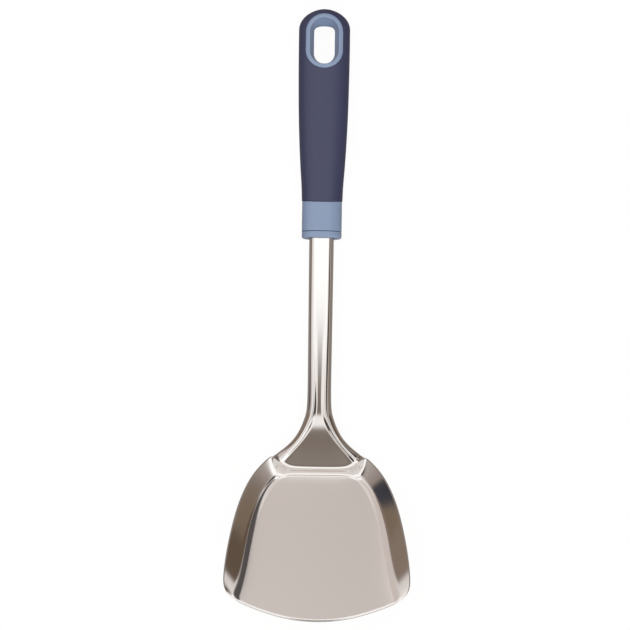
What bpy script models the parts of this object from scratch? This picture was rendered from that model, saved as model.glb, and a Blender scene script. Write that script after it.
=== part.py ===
"""Steel wok turner: a pressed blade, neck and rolled shank in one sheet, and a soft-grip handle.

Metres, +Z up. The turner lies on its heel and on its handle, the hollow of the blade upwards.
Y runs from the tip of the blade to the end of the handle, and X runs across.
The pressing is a coarse cage of the sheet's middle surface: half of it, from the centre line to
the free edge, mirrored, subdivided and given the sheet's thickness.
"""
import math

import bmesh
import bpy
from mathutils import Vector

# Sheet and blade
SHEET = 0.0015
BLADE_LENGTH = 0.0906
BLADE_HALF_WIDTH = 0.0534
BLADE_TILT = math.radians(24)
RIM_HEIGHT = 0.009
TIP_EDGE = 0.0007
HEEL_RISE = 0.000353
HEEL_CORNER = 0.0033
HEEL_ROUND = 0.0031

# Neck, from the top of the back wall to the apex of the recess, and the ridges beside it
BACK_WALL_LEAN = math.radians(5)
BACK_WALL_ROUND = 0.0007
NECK_LENGTH = 0.0314
NECK_DROP = 0.0036
RIDGE_WIDTH = 0.0035
RIDGE_HEIGHT = 0.0014
VALLEY_LENGTH = 0.051

# Rolled shank
SHANK_LENGTH = 0.0516
SHANK_WIDTH_AT_NECK = 0.0136
SHANK_WIDTH = 0.0146
SHANK_DEPTH = 0.0094
SHANK_CORNER = 0.0021
SLOT_WIDTH = 0.0048

# Tang inside the handle, with its two lock holes
TANG_TO_HANG_HOLE = 0.026
LOCK_HOLE_DIAMETER = 0.005
LOCK_HOLE_SPACING = 0.030
LOCK_HOLE_TO_TANG_END = 0.014

# Handle
HANDLE_LENGTH = 0.1367
HANDLE_WIDTH = 0.0303
HANDLE_DEPTH = 0.0175
GRIP_WALL = 0.0022
END_ROUND = 0.012
COLLAR_WIDTH = 0.0234
COLLAR_LENGTH = 0.0174
GRIP_DIP = 0.0015
END_CAP_LENGTH = 0.0038
END_CAP_ROUND = 0.0012
SPIGOT_LENGTH = 0.004
SPIGOT_WALL = 0.0012

# Hang hole and the ring round it
RING_TO_HANDLE_END = 0.0037
RING_WIDTH = 0.0221
RING_LENGTH = 0.0328
RING_BAND = 0.0026
THROAT_INSET = 0.0023
THROAT_BOTTOM_INSET = 0.0016
THROAT_TOP_INSET = 0.0034
THROAT_CORNER = 0.0035

# Fits
CLEARANCE = 0.0003
OVERRUN = 0.002

# Facets
OVAL_POINTS = 32
STADIUM_POINTS = 16
ROUND_POINTS = 16
END_RINGS = 5
SUBDIVISIONS = 1
MERGE_DISTANCE = 0.00001
SHARP_ANGLE = math.radians(35)

# Across the half cage: shares of the floor from the centre line to its edge
FLOOR_SHARES = (0.0, 0.45, 0.84, 1.0)
# On the blade, shares of the way from the foot of the wall to its rim
WALL_SHARES = (0.25, 0.45, 0.63, 0.77, 0.88, 0.96, 1.0)
FOOT_SHARE = 0.22
# On the neck and shank, shares of the ridge's width at which it stands its share of its height
RIDGE_SHARES = ((0.15, 0.10), (0.31, 0.56), (0.48, 1.0))
# The ridge's shoulder: its share of the width, and of the drop to the outer corner
NECK_SHOULDER_SHARES = (0.75, 0.40)
SHANK_SHOULDER_SHARES = (0.79, 0.20)
# The turn into the curled lip, in shares of the low corner's height and of the curl
UNDER_RISE_SHARE = 0.25
UNDER_WAY_SHARE = 0.33
# How late a row bends from its centre line to its edge, as a power of the way across
EVEN_BOW = 2
HEEL_BOW = 24
BACK_WALL_BOW = 12

# Blade rows from the tip back to the heel: centre, floor edge (across, along), rim (across,
# along, height) and how late the row bends back to the floor edge. Across in shares of the half
# width, along in shares of the blade's length, height in shares of the rim's height.
BLADE_ROW_SHARES = (
    (-1.000, (0.838, -0.866), (0.910, -0.841, 0.00), 2.2),
    (-0.992, (0.838, -0.857), (0.940, -0.825, 0.12), 2.2),
    (-0.972, (0.836, -0.840), (0.967, -0.802, 0.34), 2.1),
    (-0.925, (0.820, -0.805), (0.988, -0.769, 0.58), 2.0),
    (-0.820, (0.790, -0.731), (0.984, -0.690, 0.76), 2.2),
    (-0.640, (0.754, -0.587), (0.958, -0.548, 0.88), 2.5),
    (-0.440, (0.721, -0.421), (0.906, -0.377, 0.92), 3.0),
    (-0.240, (0.657, -0.256), (0.838, -0.210, 0.95), 3.0),
    (-0.095, (0.562, -0.118), (0.722, -0.052, 0.98), 5.0),
    (-0.035, (0.468, -0.050), (0.600, 0.036, 1.00), 12.0),
)
# The last row of the blade, whose centre the heel's rounding sets
HEEL_EDGE_SHARES = (0.418, -0.024)
HEEL_RIM_SHARES = (0.530, 0.078, 1.00)
# The two rows up the back wall: shares of the way to the neck of the recess's edge in plan and
# in height, of the ridge in plan, of its crest's height and of its lip's height
BACK_WALL_SHARES = ((0.45, 0.12, 0.36, 0.42, 0.30), (0.88, 0.84, 0.72, 0.84, 0.75))
GUSSET_SHARES = (0.38, 0.70)
HEEL_WIDTH_SHARE = 0.378

# Neck rows from the top of the back wall to the apex: along in shares of the neck's length for
# the centre line and the recess's edge, the recess's half width in shares of the heel's, the
# rise of its floor in shares of the neck's drop, the heading of the row, the ridge's width and
# height in shares, the drop of its outer corner in shares of the shank's corner, the flank's
# depth in shares of the shank's, and how far it curls in, in shares of the shank's half width.
NECK_ROW_SHARES = (
    (0.000, 0.070, 0.990, 0.00, 45, 1.75, 0.90, 0.85, 0.74, 0.00),
    (0.032, 0.125, 0.950, 0.00, 43, 1.55, 1.00, 0.85, 0.76, 0.00),
    (0.240, 0.300, 0.712, 0.02, 41, 1.12, 1.08, 0.85, 0.82, 0.00),
    (0.460, 0.484, 0.460, 0.05, 38, 1.12, 1.20, 0.90, 0.90, 0.08),
    (0.690, 0.688, 0.228, 0.13, 32, 1.40, 1.40, 0.95, 0.96, 0.30),
    (0.835, 0.835, 0.119, 0.34, 22, 1.57, 1.20, 1.00, 0.98, 0.48),
    (1.000, 1.000, 0.050, 0.68, 10, 1.62, 0.60, 1.00, 1.00, 0.60),
)

# Half width of the valley's floor in shares of the shank's half width
VALLEY_WIDTH_SHARE = 0.15
# Shank rows from the neck to the handle: along in shares of the valley's length, the rise of
# the centre line in shares of the neck's drop, and the ridge's height in shares
VALLEY_ROW_SHARES = (
    (0.22, 0.80, 0.42),
    (0.55, 0.91, 0.22),
    (1.00, 0.99, 0.00),
)

# Half width of the handle in shares of its greatest, at shares of the length behind the collar
HANDLE_WIDTH_SHARES = ((0.0, 0.788), (0.08, 0.812), (0.18, 0.866), (0.31, 0.921),
                       (0.45, 0.962), (0.60, 0.986), (0.78, 1.0), (1.0, 1.0))
HANDLE_DEPTH_SHARES = ((0.0, 0.914), (0.30, 0.965), (0.60, 1.0), (1.0, 0.965))
OVAL_POWER = 2.4
END_DEPTH_POWER = 4.0
END_TURN = math.radians(80)
# Half height of the hang hole's waist in shares of the handle's half depth
WAIST_SHARE = 0.25

# Places that follow from the sizes
HANDLE_AXIS_Z = HANDLE_DEPTH / 2
SHANK_TOP_Z = HANDLE_AXIS_Z + (SHANK_DEPTH - SHEET) / 2
SHANK_BOTTOM_Z = HANDLE_AXIS_Z - (SHANK_DEPTH - SHEET) / 2
NECK_Z = SHANK_TOP_Z - NECK_DROP
HEEL_HALF_WIDTH = HEEL_WIDTH_SHARE * BLADE_HALF_WIDTH
HEEL_CORNER_Y = HEEL_CORNER * math.cos(BLADE_TILT)
HEEL_CORNER_Z = HEEL_RISE - HEEL_CORNER * math.sin(BLADE_TILT)
BACK_WALL_TOP_Y = HEEL_CORNER_Y + (NECK_Z - HEEL_CORNER_Z) * math.tan(BACK_WALL_LEAN)
RECESS_START_Y = BACK_WALL_TOP_Y + BACK_WALL_ROUND
NECK_END_Y = RECESS_START_Y + NECK_LENGTH
VALLEY_END_Y = NECK_END_Y + VALLEY_LENGTH
HANDLE_START_Y = VALLEY_END_Y + SHANK_LENGTH
HANDLE_END_Y = HANDLE_START_Y + HANDLE_LENGTH
COLLAR_START_Y = HANDLE_START_Y + END_CAP_LENGTH
GRIP_START_Y = COLLAR_START_Y + COLLAR_LENGTH
HOLE_Y = HANDLE_END_Y - RING_TO_HANDLE_END - RING_LENGTH / 2
TANG_END_Y = HOLE_Y - RING_LENGTH / 2 - TANG_TO_HANG_HOLE

STEEL = ("polished_steel", (0.72, 0.70, 0.68, 1), 0.25, 1.0)
LIGHT_BLUE = ("light_blue_plastic", (0.30, 0.40, 0.53, 1), 0.45, 0.0)
NAVY = ("navy_soft_grip", (0.09, 0.10, 0.16, 1), 0.7, 0.0)


def clear_scene():
    for item in list(bpy.data.objects):
        bpy.data.objects.remove(item, do_unlink=True)


def new_collection(name):
    collection = bpy.data.collections.new(name)
    bpy.context.scene.collection.children.link(collection)
    return collection


def new_material(name, colour, roughness, metallic):
    material = bpy.data.materials.new(name)
    material.use_nodes = True
    shader = material.node_tree.nodes["Principled BSDF"]
    shader.inputs["Base Color"].default_value = colour
    shader.inputs["Roughness"].default_value = roughness
    shader.inputs["Metallic"].default_value = metallic
    material.diffuse_color = colour
    return material


def mesh_object(name, bm, collection, look=None):
    mesh = bpy.data.meshes.new(name)
    bm.to_mesh(mesh)
    bm.free()
    piece = bpy.data.objects.new(name, mesh)
    collection.objects.link(piece)
    if look:
        mesh.materials.append(new_material(name + "_" + look[0], *look[1:]))
        mesh.shade_smooth()
        mesh.set_sharp_from_angle(angle=SHARP_ANGLE)
    else:
        piece.hide_render = True
        piece.display_type = "WIRE"
    return piece


def boolean(piece, cutter, operation):
    modifier = piece.modifiers.new(cutter.name, "BOOLEAN")
    modifier.operation = operation
    modifier.solver = "EXACT"
    modifier.object = cutter


def mix(first, second, share):
    return first + (second - first) * share


# The pressing

def blade_point(across, along, height):
    """A point of the tilted blade, counted from the heel: the tip lies at a negative along."""
    cosine = math.cos(BLADE_TILT)
    sine = math.sin(BLADE_TILT)
    y = along * cosine + height * sine
    z = HEEL_RISE - along * sine + height * cosine
    return Vector((across, y, z))


def floor_points(centre, edge, bow):
    """Points from the centre line to the floor's edge, straight first and bent at the end."""
    points = []
    for share in FLOOR_SHARES:
        bend = share ** bow
        points.append(Vector((edge.x * share, mix(centre.y, edge.y, bend), mix(centre.z, edge.z, bend))))
    return points


def wall_points(foot, rim):
    return [foot] + [foot.lerp(rim, share) for share in WALL_SHARES]


def blade_row(centre_along, edge_shares, rim_shares, bow):
    centre = blade_point(0, centre_along, 0)
    across, along = edge_shares
    edge = blade_point(across * BLADE_HALF_WIDTH, along * BLADE_LENGTH, 0)
    across, along, height = rim_shares
    below_rim = blade_point(across * BLADE_HALF_WIDTH, along * BLADE_LENGTH, 0)
    rim = blade_point(across * BLADE_HALF_WIDTH, along * BLADE_LENGTH, height * RIM_HEIGHT)
    foot = edge.lerp(below_rim, FOOT_SHARE)
    return floor_points(centre, edge, bow) + wall_points(foot, rim)


def ridge_points(edge, heading, width, height, corner_drop, flank_bottom, lip, slope=1):
    """The ridge beside the recess: its step, crest and shoulder, the flank and the curled lip.

    The shoulder slopes as it does at the neck, 1, or lies as level as on the shank, 0.
    """
    outward = Vector((math.cos(heading), math.sin(heading), 0))
    points = []
    for width_share, height_share in RIDGE_SHARES:
        points.append(edge + outward * width * width_share + Vector((0, 0, height * height_share)))
    crest_z = points[-1].z
    way_out, way_down = [mix(level, steep, slope)
                         for level, steep in zip(SHANK_SHOULDER_SHARES, NECK_SHOULDER_SHARES)]
    shoulder = edge + outward * width * way_out
    shoulder.z = crest_z - corner_drop * way_down
    outer = edge + outward * width
    corner_top = Vector((outer.x, outer.y, crest_z - corner_drop))
    low_corner = min(SHANK_CORNER, (corner_top.z - flank_bottom) / 2)
    corner_low = Vector((outer.x, outer.y, flank_bottom + low_corner))
    lip_way = Vector((-lip, 0, 0))
    under = Vector((outer.x, outer.y, flank_bottom + low_corner * UNDER_RISE_SHARE))
    under += lip_way * UNDER_WAY_SHARE
    lip_end = Vector((outer.x, outer.y, flank_bottom)) + lip_way
    return points + [shoulder, corner_top, corner_low, under, lip_end]


def neck_row(centre_along, edge_along, half_width, rise, heading, width, height, drop, depth, curl):
    centre_y = RECESS_START_Y + centre_along * NECK_LENGTH
    edge_y = RECESS_START_Y + edge_along * NECK_LENGTH
    z = NECK_Z + rise * NECK_DROP
    edge = Vector((half_width * HEEL_HALF_WIDTH, edge_y, z))
    bottom = SHANK_TOP_Z - depth * (SHANK_TOP_Z - SHANK_BOTTOM_Z)
    bow = BACK_WALL_BOW if centre_along < edge_along else EVEN_BOW
    return floor_points(Vector((0, centre_y, z)), edge, bow) + ridge_points(
        edge, math.radians(heading), width * RIDGE_WIDTH, height * RIDGE_HEIGHT,
        drop * SHANK_CORNER, bottom, curl * SHANK_WIDTH_AT_NECK / 2)


def shank_row(y, rise, height, slope=0):
    """A row across the rolled shank, which widens evenly from the neck to the handle."""
    way = min(1, (y - NECK_END_Y) / (HANDLE_START_Y - NECK_END_Y))
    half_width = (mix(SHANK_WIDTH_AT_NECK, SHANK_WIDTH, way) - SHEET) / 2
    edge = Vector((half_width * VALLEY_WIDTH_SHARE, y, NECK_Z + rise * NECK_DROP))
    lip = half_width - SLOT_WIDTH / 2
    return floor_points(Vector((0, y, edge.z)), edge, EVEN_BOW) + ridge_points(
        edge, 0, half_width - edge.x, height * RIDGE_HEIGHT, SHANK_CORNER, SHANK_BOTTOM_Z, lip, slope)


def back_wall_row(heel_row, neck_row_above, centre, shares):
    """A row up the back wall, whose end climbs from the blade's wall to the ridge's dome."""
    edge_share, edge_rise, plan_share, crest_share, lip_share = shares
    edge = heel_row[3].lerp(neck_row_above[3], edge_share)
    edge.z = mix(heel_row[3].z, neck_row_above[3].z, edge_rise)
    pairs = list(zip(heel_row[6:], neck_row_above[6:]))
    ridge = []
    for number, (below, above) in enumerate(pairs):
        point = below.lerp(above, plan_share)
        height_share = mix(crest_share, lip_share, number / (len(pairs) - 1))
        point.z = mix(below.z, above.z, height_share)
        ridge.append(point)
    gusset = [edge.lerp(ridge[0], share) for share in GUSSET_SHARES]
    return floor_points(centre, edge, BACK_WALL_BOW) + gusset + ridge


def cage_rows():
    rows = []
    for centre_share, edge_shares, rim_shares, bow in BLADE_ROW_SHARES:
        rows.append(blade_row(centre_share * BLADE_LENGTH, edge_shares, rim_shares, bow))
    heel = blade_row(HEEL_CORNER - HEEL_ROUND, HEEL_EDGE_SHARES, HEEL_RIM_SHARES, HEEL_BOW)
    neck = [neck_row(*shares) for shares in NECK_ROW_SHARES]
    corner = Vector((0, HEEL_CORNER_Y, HEEL_CORNER_Z))
    top = Vector((0, BACK_WALL_TOP_Y, NECK_Z))
    up = (top - corner).normalized()
    rows.append(heel)
    for centre, shares in zip((corner + up * HEEL_ROUND, top - up * BACK_WALL_ROUND), BACK_WALL_SHARES):
        rows.append(back_wall_row(heel, neck[0], centre, shares))
    rows.extend(neck)
    for along, rise, height in VALLEY_ROW_SHARES:
        rows.append(shank_row(NECK_END_Y + along * VALLEY_LENGTH, rise, height, 1 - along))
    for y in (VALLEY_END_Y + SHANK_LENGTH / 2, HANDLE_START_Y - OVERRUN, HANDLE_START_Y):
        rows.append(shank_row(y, 1, 0))
    rows.append(shank_row(TANG_END_Y, 1, 0))
    return rows


def cage_object(name, rows, gauge_shares, collection, thickness, look=None):
    """Half a cage, mirrored, subdivided and given its thickness, by shares of it for each row."""
    bm = bmesh.new()
    grid = [[bm.verts.new(point) for point in row] for row in rows]
    for low, high in zip(grid, grid[1:]):
        for left in range(len(low) - 1):
            bm.faces.new((low[left], low[left + 1], high[left + 1], high[left]))
    piece = mesh_object(name, bm, collection, look)
    gauge = piece.vertex_groups.new(name="gauge")
    for row, share in enumerate(gauge_shares):
        first = row * len(rows[0])
        gauge.add(range(first, first + len(rows[0])), share, "REPLACE")
    mirror = piece.modifiers.new("other_half", "MIRROR")
    mirror.use_clip = True
    mirror.merge_threshold = MERGE_DISTANCE
    smooth = piece.modifiers.new("smooth", "SUBSURF")
    smooth.levels = SUBDIVISIONS
    smooth.render_levels = SUBDIVISIONS
    sheet = piece.modifiers.new("sheet", "SOLIDIFY")
    sheet.thickness = thickness
    sheet.offset = 0
    sheet.use_even_offset = True
    sheet.vertex_group = gauge.name
    return piece


def lock_hole_places():
    last = TANG_END_Y - LOCK_HOLE_TO_TANG_END
    return (last - LOCK_HOLE_SPACING, last)


def lock_cylinder(name, y, diameter, collection):
    bm = bmesh.new()
    bmesh.ops.create_cone(bm, cap_ends=True, segments=ROUND_POINTS, radius1=diameter / 2,
                          radius2=diameter / 2, depth=SHANK_DEPTH)
    cutter = mesh_object(name, bm, collection)
    cutter.location = (0, y, SHANK_TOP_Z)
    return cutter


def blade_and_shank(parts, cutters):
    rows = cage_rows()
    gauge_shares = [TIP_EDGE / SHEET] + [1] * (len(rows) - 1)
    piece = cage_object("blade_and_shank", rows, gauge_shares, parts, SHEET, STEEL)
    for number, y in enumerate(lock_hole_places()):
        cutter = lock_cylinder("lock_hole_%d" % number, y, LOCK_HOLE_DIAMETER, cutters)
        boolean(piece, cutter, "DIFFERENCE")
    return piece


# The handle

def share_at(shares, place):
    """Straight interpolation in a table of places and shares."""
    for (start, low), (end, high) in zip(shares, shares[1:]):
        if place <= end:
            return mix(low, high, max(0, place - start) / (end - start))
    return shares[-1][1]


def handle_size(y):
    """Half width and half depth of the handle before its end is rounded."""
    behind = max(0, y - GRIP_START_Y) / (HANDLE_END_Y - GRIP_START_Y)
    if y < GRIP_START_Y:
        half_width = COLLAR_WIDTH / 2
    else:
        half_width = share_at(HANDLE_WIDTH_SHARES, behind) * HANDLE_WIDTH / 2
    return half_width, share_at(HANDLE_DEPTH_SHARES, behind) * HANDLE_DEPTH / 2


def oval(half_width, half_depth, y, dip=0):
    """A ring across the handle, which reaches forward by the dip at its top and bottom."""
    points = []
    for number in range(OVAL_POINTS):
        angle = 2 * math.pi * (number + 0.5) / OVAL_POINTS
        cosine = math.cos(angle)
        sine = math.sin(angle)
        x = half_width * math.copysign(abs(cosine) ** (2 / OVAL_POWER), cosine)
        z = half_depth * math.copysign(abs(sine) ** (2 / OVAL_POWER), sine)
        points.append(Vector((x, y - dip * sine * sine, HANDLE_AXIS_Z + z)))
    return points


def body_rings(start_y, inset):
    """Rings of the handle's form from start_y to its rounded end, drawn in by the inset."""
    rings = []
    round_start = HANDLE_END_Y - END_ROUND
    places = [start_y]
    for share, width in HANDLE_WIDTH_SHARES[1:-1]:
        y = mix(GRIP_START_Y, HANDLE_END_Y, share)
        if start_y < y < round_start:
            places.append(y)
    for y in places:
        half_width, half_depth = handle_size(y)
        dip = GRIP_DIP if y == start_y else 0
        rings.append(oval(half_width - inset, half_depth - inset, y, dip))
    for number in range(END_RINGS + 1):
        turn = END_TURN * number / END_RINGS
        half_width, half_depth = handle_size(round_start)
        deep = (1 - math.sin(turn) ** END_DEPTH_POWER) ** (1 / END_DEPTH_POWER)
        y = round_start + (END_ROUND - inset) * math.sin(turn)
        rings.append(oval((half_width - inset) * math.cos(turn), (half_depth - inset) * deep, y))
    return rings


def loft(name, rings, collection, look=None):
    """A closed solid through rings of as many points, capped at both ends."""
    bm = bmesh.new()
    rows = [[bm.verts.new(point) for point in ring] for ring in rings]
    for low, high in zip(rows, rows[1:]):
        for left in range(len(low)):
            right = (left + 1) % len(low)
            bm.faces.new((low[left], low[right], high[right], high[left]))
    bm.faces.new(rows[0])
    bm.faces.new(rows[-1])
    bmesh.ops.recalc_face_normals(bm, faces=bm.faces)
    return mesh_object(name, bm, collection, look)


def stadium(width, length, centre_y, z):
    """An outline with two straight sides and half-round ends."""
    points = []
    radius = width / 2
    reach = length / 2 - radius
    for number in range(STADIUM_POINTS + 1):
        angle = math.pi * number / STADIUM_POINTS
        points.append(Vector((radius * math.cos(angle), centre_y + reach + radius * math.sin(angle), z)))
    for number in range(STADIUM_POINTS + 1):
        angle = math.pi * (1 + number / STADIUM_POINTS)
        points.append(Vector((radius * math.cos(angle), centre_y - reach + radius * math.sin(angle), z)))
    return points


def throat(z):
    """The waist of the hang hole: half-round at the handle's side and flat towards its end."""
    half_width = RING_WIDTH / 2 - RING_BAND - THROAT_INSET
    half_length = RING_LENGTH / 2 - RING_BAND
    top = HOLE_Y + half_length - THROAT_TOP_INSET
    bottom = HOLE_Y - half_length + THROAT_BOTTOM_INSET
    corner = min(THROAT_CORNER, half_width)
    points = []
    for number in range(STADIUM_POINTS + 1):
        angle = math.pi * number / STADIUM_POINTS
        side = corner - half_width if angle > math.pi / 2 else half_width - corner
        if number * 2 == STADIUM_POINTS:
            side = 0
        y = top - corner + corner * math.sin(angle)
        points.append(Vector((side + corner * math.cos(angle), y, z)))
    for number in range(STADIUM_POINTS + 1):
        angle = math.pi * (1 + number / STADIUM_POINTS)
        y = bottom + half_width + half_width * math.sin(angle)
        points.append(Vector((half_width * math.cos(angle), y, z)))
    return points


def hang_hole_cutter(cutters):
    """Wide mouths at both faces and a narrow waist halfway through."""
    mouth_width = RING_WIDTH - 2 * RING_BAND
    mouth_length = RING_LENGTH - 2 * RING_BAND
    half_depth = handle_size(HOLE_Y)[1]
    return loft("hang_hole", [
        stadium(mouth_width, mouth_length, HOLE_Y, HANDLE_AXIS_Z - half_depth - OVERRUN),
        stadium(mouth_width, mouth_length, HOLE_Y, HANDLE_AXIS_Z - half_depth + CLEARANCE),
        throat(HANDLE_AXIS_Z - half_depth * WAIST_SHARE),
        throat(HANDLE_AXIS_Z + half_depth * WAIST_SHARE),
        stadium(mouth_width, mouth_length, HOLE_Y, HANDLE_AXIS_Z + half_depth - CLEARANCE),
        stadium(mouth_width, mouth_length, HOLE_Y, HANDLE_AXIS_Z + half_depth + OVERRUN),
    ], cutters)


def ring_prism(name, spare, cutters):
    low = HANDLE_AXIS_Z - HANDLE_DEPTH
    high = HANDLE_AXIS_Z + HANDLE_DEPTH
    width = RING_WIDTH + 2 * spare
    length = RING_LENGTH + 2 * spare
    return loft(name, [stadium(width, length, HOLE_Y, low), stadium(width, length, HOLE_Y, high)], cutters)


def bore_half_sizes():
    """Half sizes of the end cap's bore, which clears the shank all round."""
    return SHANK_WIDTH / 2 + CLEARANCE, SHANK_DEPTH / 2 + CLEARANCE


def rounded_bore(name, start_y, end_y, cutters):
    half_width, half_depth = bore_half_sizes()
    rings = []
    for y in (start_y, end_y):
        ring = []
        for number in range(OVAL_POINTS):
            angle = 2 * math.pi * (number + 0.5) / OVAL_POINTS
            cosine = math.cos(angle)
            sine = math.sin(angle)
            x = half_width - SHANK_CORNER
            z = half_depth - SHANK_CORNER
            ring.append(Vector((math.copysign(x, cosine) + SHANK_CORNER * cosine, y,
                                HANDLE_AXIS_Z + math.copysign(z, sine) + SHANK_CORNER * sine)))
        rings.append(ring)
    return loft(name, rings, cutters)


def spigot_half_sizes():
    half_width, half_depth = bore_half_sizes()
    return half_width + SPIGOT_WALL, half_depth + SPIGOT_WALL


def end_cap(parts, cutters):
    half_width, half_depth = handle_size(HANDLE_START_Y)
    seam = COLLAR_START_Y - CLEARANCE / 2
    rings = []
    for number in range(END_RINGS):
        turn = math.pi / 2 * number / (END_RINGS - 1)
        draw_in = END_CAP_ROUND * (1 - math.sin(turn))
        y = HANDLE_START_Y + END_CAP_ROUND * (1 - math.cos(turn))
        rings.append(oval(half_width - draw_in, half_depth - draw_in, y))
    rings.append(oval(half_width, half_depth, seam))
    spigot_width, spigot_depth = spigot_half_sizes()
    rings.append(oval(spigot_width, spigot_depth, seam))
    rings.append(oval(spigot_width, spigot_depth, seam + SPIGOT_LENGTH))
    piece = loft("end_cap", rings, parts, LIGHT_BLUE)
    bore = rounded_bore("end_cap_bore", HANDLE_START_Y - OVERRUN, seam + SPIGOT_LENGTH + OVERRUN, cutters)
    boolean(piece, bore, "DIFFERENCE")
    return piece


def tang_cutter(cutters):
    """Room for the tang: its own rows, thicker and longer by the clearance on every side."""
    rows = []
    for y in (HANDLE_START_Y, COLLAR_START_Y, TANG_END_Y + CLEARANCE):
        row = shank_row(y, 1, 0)
        row[-1] = row[-1] + Vector((-CLEARANCE, 0, 0))
        for point in row:
            point.y = y
        rows.append(row)
    cutter = cage_object("tang_room", rows, [1] * len(rows), cutters, SHEET + 2 * CLEARANCE)
    for number, y in enumerate(lock_hole_places()):
        plug = lock_cylinder("lock_plug_%d" % number, y, LOCK_HOLE_DIAMETER - 2 * CLEARANCE, cutters)
        boolean(cutter, plug, "DIFFERENCE")
    return cutter


def handle_core(parts, cutters):
    start = COLLAR_START_Y + CLEARANCE / 2
    half_width, half_depth = handle_size(start)
    collar_end = GRIP_START_Y - CLEARANCE / 2
    rings = [oval(half_width, half_depth, start), oval(half_width, half_depth, collar_end, GRIP_DIP)]
    rings += body_rings(collar_end, GRIP_WALL + CLEARANCE)
    piece = loft("handle_core", rings, parts, LIGHT_BLUE)
    boss = ring_prism("hang_ring", 0, cutters)
    outside = loft("handle_outside", body_rings(GRIP_START_Y, 0), cutters)
    boolean(boss, outside, "INTERSECT")
    boolean(piece, boss, "UNION")
    boolean(piece, hang_hole_cutter(cutters), "DIFFERENCE")
    spigot_width, spigot_depth = spigot_half_sizes()
    room = [oval(spigot_width + CLEARANCE, spigot_depth + CLEARANCE, y)
            for y in (start - OVERRUN, start + SPIGOT_LENGTH + CLEARANCE)]
    boolean(piece, loft("spigot_room", room, cutters), "DIFFERENCE")
    boolean(piece, tang_cutter(cutters), "DIFFERENCE")
    return piece


def grip_cover(parts, cutters):
    start = GRIP_START_Y + CLEARANCE / 2
    outer = body_rings(start, 0)
    inner = body_rings(start, GRIP_WALL)
    piece = loft("grip_cover", outer[::-1] + inner, parts, NAVY)
    boolean(piece, ring_prism("ring_window", CLEARANCE, cutters), "DIFFERENCE")
    return piece


def centre_on_origin(pieces):
    """Move the turner so that the middle of its bounding box's underside is the origin."""
    bpy.context.view_layer.update()
    graph = bpy.context.evaluated_depsgraph_get()
    corners = []
    for piece in pieces:
        corners += [Vector(corner) for corner in piece.evaluated_get(graph).bound_box]
    middle = (min(corner.y for corner in corners) + max(corner.y for corner in corners)) / 2
    lowest = min(corner.z for corner in corners)
    for item in bpy.data.objects:
        item.location += Vector((0, -middle, -lowest))


def main():
    clear_scene()
    parts = new_collection("wok_turner")
    cutters = new_collection("cutters")
    pieces = [blade_and_shank(parts, cutters), end_cap(parts, cutters),
              handle_core(parts, cutters), grip_cover(parts, cutters)]
    centre_on_origin(pieces)


main()
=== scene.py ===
import math

import bpy
from mathutils import Matrix, Vector


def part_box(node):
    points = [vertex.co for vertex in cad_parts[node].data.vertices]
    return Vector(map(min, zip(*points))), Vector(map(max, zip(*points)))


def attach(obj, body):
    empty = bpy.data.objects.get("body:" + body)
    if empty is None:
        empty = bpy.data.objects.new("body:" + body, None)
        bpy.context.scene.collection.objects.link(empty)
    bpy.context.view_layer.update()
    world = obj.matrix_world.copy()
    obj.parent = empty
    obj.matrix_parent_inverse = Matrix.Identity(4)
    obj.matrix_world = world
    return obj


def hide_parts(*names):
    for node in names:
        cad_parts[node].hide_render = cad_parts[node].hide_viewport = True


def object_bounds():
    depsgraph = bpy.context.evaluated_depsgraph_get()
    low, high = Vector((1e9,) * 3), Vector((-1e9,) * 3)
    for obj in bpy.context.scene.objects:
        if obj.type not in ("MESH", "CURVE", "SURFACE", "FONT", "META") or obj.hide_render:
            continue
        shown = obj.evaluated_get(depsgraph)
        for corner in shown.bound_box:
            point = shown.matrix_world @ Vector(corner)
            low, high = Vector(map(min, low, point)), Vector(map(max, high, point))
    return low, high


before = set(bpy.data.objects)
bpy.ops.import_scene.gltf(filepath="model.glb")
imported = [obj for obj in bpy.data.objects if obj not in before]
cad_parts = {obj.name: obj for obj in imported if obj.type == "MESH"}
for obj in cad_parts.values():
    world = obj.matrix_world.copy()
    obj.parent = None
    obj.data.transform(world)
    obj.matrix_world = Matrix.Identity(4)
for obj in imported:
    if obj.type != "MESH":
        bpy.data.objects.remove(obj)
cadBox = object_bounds()
bpy.context.scene.view_settings.view_transform = "Standard"
print("frame loaded")

# The camera looks almost straight down, from a place over the blade. Its lens and sensor are in
# millimetres, its pitch and roll in degrees.
photoCamera = {
    "lens": 107.38,
    "sensor": 36,
    "distance": 1.1,
    "pitch": 5.0,
    "roll": 0.85,
    "aim": (-0.0032, -0.0029, 0.009),
}


def setCamera(view):
    pitch = math.radians(view["pitch"])
    roll = math.radians(view["roll"])
    forward = Vector((0, math.sin(pitch), -math.cos(pitch)))
    level = Vector((1, 0, 0))
    top = Vector((0, math.cos(pitch), math.sin(pitch)))
    right = level * math.cos(roll) + top * math.sin(roll)
    up = top * math.cos(roll) - level * math.sin(roll)
    place = Vector(view["aim"]) - forward * view["distance"]
    bpy.ops.object.camera_add(location=place)
    camera = bpy.context.object
    camera.name = "photoCamera"
    camera.data.lens = view["lens"]
    camera.data.sensor_width = view["sensor"]
    turned = Matrix((right, up, -forward)).transposed().to_4x4()
    camera.matrix_world = Matrix.Translation(place) @ turned
    bpy.context.scene.camera = camera


# Small helpers for modelling


def deselectAll():
    if bpy.context.mode != "OBJECT":
        bpy.ops.object.mode_set(mode="OBJECT")
    bpy.ops.object.select_all(action="DESELECT")


def selectOnly(piece):
    deselectAll()
    bpy.context.view_layer.objects.active = piece
    piece.select_set(True)


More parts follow.
